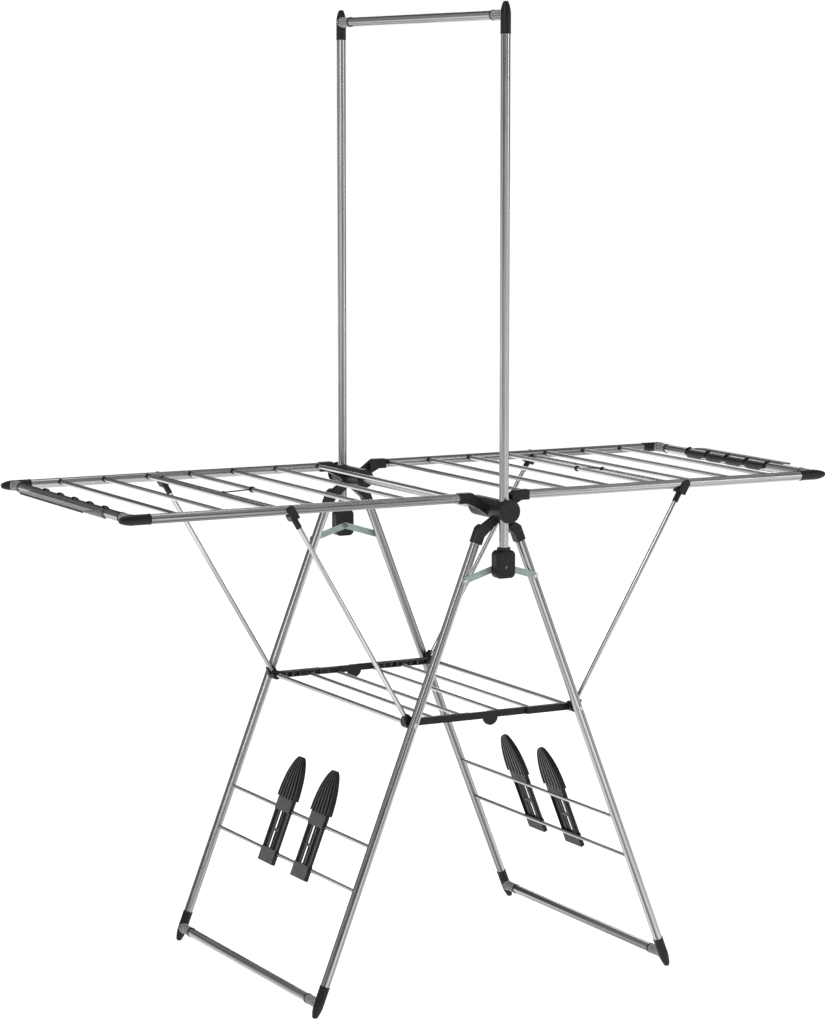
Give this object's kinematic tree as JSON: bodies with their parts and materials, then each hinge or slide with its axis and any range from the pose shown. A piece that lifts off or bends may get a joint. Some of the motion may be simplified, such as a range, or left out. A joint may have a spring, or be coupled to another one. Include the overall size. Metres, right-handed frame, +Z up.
{
  "type": "clothes drying rack",
  "caption": "Folding winged clothes drying rack with a hanger rail above, a folding shelf between crossed leg frames and clip-on shoe holders.",
  "frame": {"origin": "floor level, below the middle of the folding axis", "axes": "+X from wing to wing, +Y from front to back along the folding axis, +Z up"},
  "size_m": [1.398, 0.643, 1.6743],
  "materials": {
    "tube_steel": "polished stainless tube with fine lengthwise brushing",
    "rod_steel": "polished stainless rod",
    "link_steel": "grey-green zinc finish",
    "fastener_steel": "bright",
    "black_plastic": "fine satin moulding",
    "latch_plastic": "satin moulding",
    "grey_plastic": "satin moulding",
    "holder_plastic": "satin moulding",
    "clip_plastic": "satin moulding"
  },
  "bodies": {
    "hub": {"axle_tube": "tube_steel", "post_collars": "black_plastic", "hub_caps": "black_plastic", "axle_spacers": "black_plastic"},
    "hanger_rail": {"posts": "tube_steel", "hanger_bar": "tube_steel", "hanger_bar_connectors": "black_plastic", "hanger_bar_sleeves": "grey_plastic", "link_boxes": "black_plastic", "link_box_plates": "black_plastic", "link_screws": "fastener_steel"},
    "left_leg": {"left_leg_tubes": "tube_steel", "left_leg_arms": "black_plastic", "left_foot_bar": "tube_steel", "left_foot_connectors": "black_plastic", "left_foot_sleeves": "grey_plastic", "left_leg_cross_rod": "rod_steel", "left_shoe_rods": "rod_steel"},
    "left_link": {"left_links": "link_steel"},
    "left_wing": {"left_wing_tubes": "tube_steel", "left_wing_arms": "black_plastic", "left_wing_outer_bar": "tube_steel", "left_wing_connectors": "black_plastic", "left_wing_sleeves": "grey_plastic", "left_wing_rods": "rod_steel", "left_wing_eyelets": "fastener_steel"},
    "left_latch_wire": {"left_latch": "latch_plastic"},
    "left_hanger_comb": {"left_comb": "clip_plastic"},
    "left_shelf": {"left_shelf_bars": "black_plastic", "left_shelf_rods": "rod_steel"},
    "left_prop": {"left_prop_feet": "black_plastic", "left_prop_bars": "rod_steel", "left_prop_saddles": "black_plastic"},
    "left_front_holder": {"left_front_shoe_holder": "holder_plastic"},
    "left_back_holder": {"left_back_shoe_holder": "holder_plastic"},
    "right_leg": {"right_leg_tubes": "tube_steel", "right_leg_arms": "black_plastic", "right_foot_bar": "tube_steel", "right_foot_connectors": "black_plastic", "right_foot_sleeves": "grey_plastic", "right_leg_cross_rod": "rod_steel", "right_shoe_rods": "rod_steel"},
    "right_link": {"right_links": "link_steel"},
    "right_wing": {"right_wing_tubes": "tube_steel", "right_wing_arms": "black_plastic", "right_wing_outer_bar": "tube_steel", "right_wing_connectors": "black_plastic", "right_wing_sleeves": "grey_plastic", "right_wing_rods": "rod_steel", "right_wing_eyelets": "fastener_steel"},
    "right_latch_wire": {"right_latch": "latch_plastic"},
    "right_hanger_comb": {"right_comb": "clip_plastic"},
    "right_shelf": {"right_shelf_bars": "black_plastic", "right_shelf_rods": "rod_steel"},
    "right_prop": {"right_prop_feet": "black_plastic", "right_prop_bars": "rod_steel", "right_prop_saddles": "black_plastic"},
    "right_front_holder": {"right_front_shoe_holder": "holder_plastic"},
    "right_back_holder": {"right_back_shoe_holder": "holder_plastic"}
  },
  "joints": [
    {"name": "leg_fold", "type": "hinge", "parent": "hub", "child": "left_leg", "pos_m": [0, 0, 0.832], "axis": [0, -1, 0], "range_deg": [0, 18]},
    {"name": "left_link_turn", "type": "hinge", "parent": "hanger_rail", "child": "left_link", "pos_m": [0, 0, 0.737], "axis": [0, -1, 0], "range_deg": [0, 50.01]},
    {"name": "left_shelf_fold", "type": "hinge", "parent": "left_leg", "child": "left_shelf", "pos_m": [-0.16006, 0, 0.47766], "axis": [0, -1, 0], "range_deg": [0, 61.59]},
    {"name": "left_wing_fold", "type": "hinge", "parent": "left_leg", "child": "left_wing", "pos_m": [0, 0, 0.832], "axis": [0, -1, 0], "range_deg": [0, 45]},
    {"name": "left_prop_fold", "type": "hinge", "parent": "left_leg", "child": "left_prop", "pos_m": [-0.16006, 0, 0.47766], "axis": [0, -1, 0], "range_deg": [0, 124.1]},
    {"name": "left_latch_lift", "type": "hinge", "parent": "left_wing", "child": "left_latch_wire", "pos_m": [-0.325, 0, 0.854], "axis": [0, 1, 0], "range_deg": [0, 70]},
    {"name": "left_comb_slide", "type": "slide", "parent": "left_wing", "child": "left_hanger_comb", "axis": [0, 1, 0], "range_m": [-0.05, 0.05]},
    {"name": "left_front_holder_slide", "type": "slide", "parent": "left_leg", "child": "left_front_holder", "axis": [0, 1, 0], "range_m": [-0.1, 0.03]},
    {"name": "left_back_holder_slide", "type": "slide", "parent": "left_leg", "child": "left_back_holder", "axis": [0, 1, 0], "range_m": [-0.03, 0.1]},
    {"name": "right_leg_fold", "type": "hinge", "parent": "hub", "child": "right_leg", "pos_m": [0, 0, 0.832], "axis": [0, 1, 0], "range_deg": [0, 18]},
    {"name": "right_link_turn", "type": "hinge", "parent": "hanger_rail", "child": "right_link", "pos_m": [0, 0, 0.737], "axis": [0, 1, 0], "range_deg": [0, 50.01]},
    {"name": "right_shelf_fold", "type": "hinge", "parent": "right_leg", "child": "right_shelf", "pos_m": [0.16006, 0, 0.47766], "axis": [0, 1, 0], "range_deg": [0, 61.59]},
    {"name": "right_wing_fold", "type": "hinge", "parent": "right_leg", "child": "right_wing", "pos_m": [0, 0, 0.832], "axis": [0, 1, 0], "range_deg": [0, 45]},
    {"name": "right_prop_fold", "type": "hinge", "parent": "right_leg", "child": "right_prop", "pos_m": [0.16006, 0, 0.47766], "axis": [0, 1, 0], "range_deg": [0, 124.1]},
    {"name": "right_latch_lift", "type": "hinge", "parent": "right_wing", "child": "right_latch_wire", "pos_m": [0.325, 0, 0.854], "axis": [0, -1, 0], "range_deg": [0, 70]},
    {"name": "right_comb_slide", "type": "slide", "parent": "right_wing", "child": "right_hanger_comb", "axis": [0, 1, 0], "range_m": [-0.05, 0.05]},
    {"name": "right_front_holder_slide", "type": "slide", "parent": "right_leg", "child": "right_front_holder", "axis": [0, 1, 0], "range_m": [-0.1, 0.03]},
    {"name": "right_back_holder_slide", "type": "slide", "parent": "right_leg", "child": "right_back_holder", "axis": [0, 1, 0], "range_m": [-0.03, 0.1]},
    {"name": "rail_slide", "type": "slide", "parent": "hub", "child": "hanger_rail", "axis": [0, 0, 1], "range_m": [0, 0.0295]}
  ],
  "couplings": [
    {"joint": "left_link_turn", "follows": "leg_fold", "ratio": 2.7448},
    {"joint": "left_shelf_fold", "follows": "leg_fold", "ratio": 3.3882},
    {"joint": "left_prop_fold", "follows": "left_wing_fold", "ratio": 2.7444},
    {"joint": "right_link_turn", "follows": "leg_fold", "ratio": 2.7448},
    {"joint": "right_shelf_fold", "follows": "leg_fold", "ratio": 3.3882},
    {"joint": "right_prop_fold", "follows": "right_wing_fold", "ratio": 2.7444},
    {"joint": "right_leg_fold", "follows": "leg_fold", "ratio": 1},
    {"joint": "rail_slide", "follows": "leg_fold", "m_per_rad": 0.091241}
  ]
}
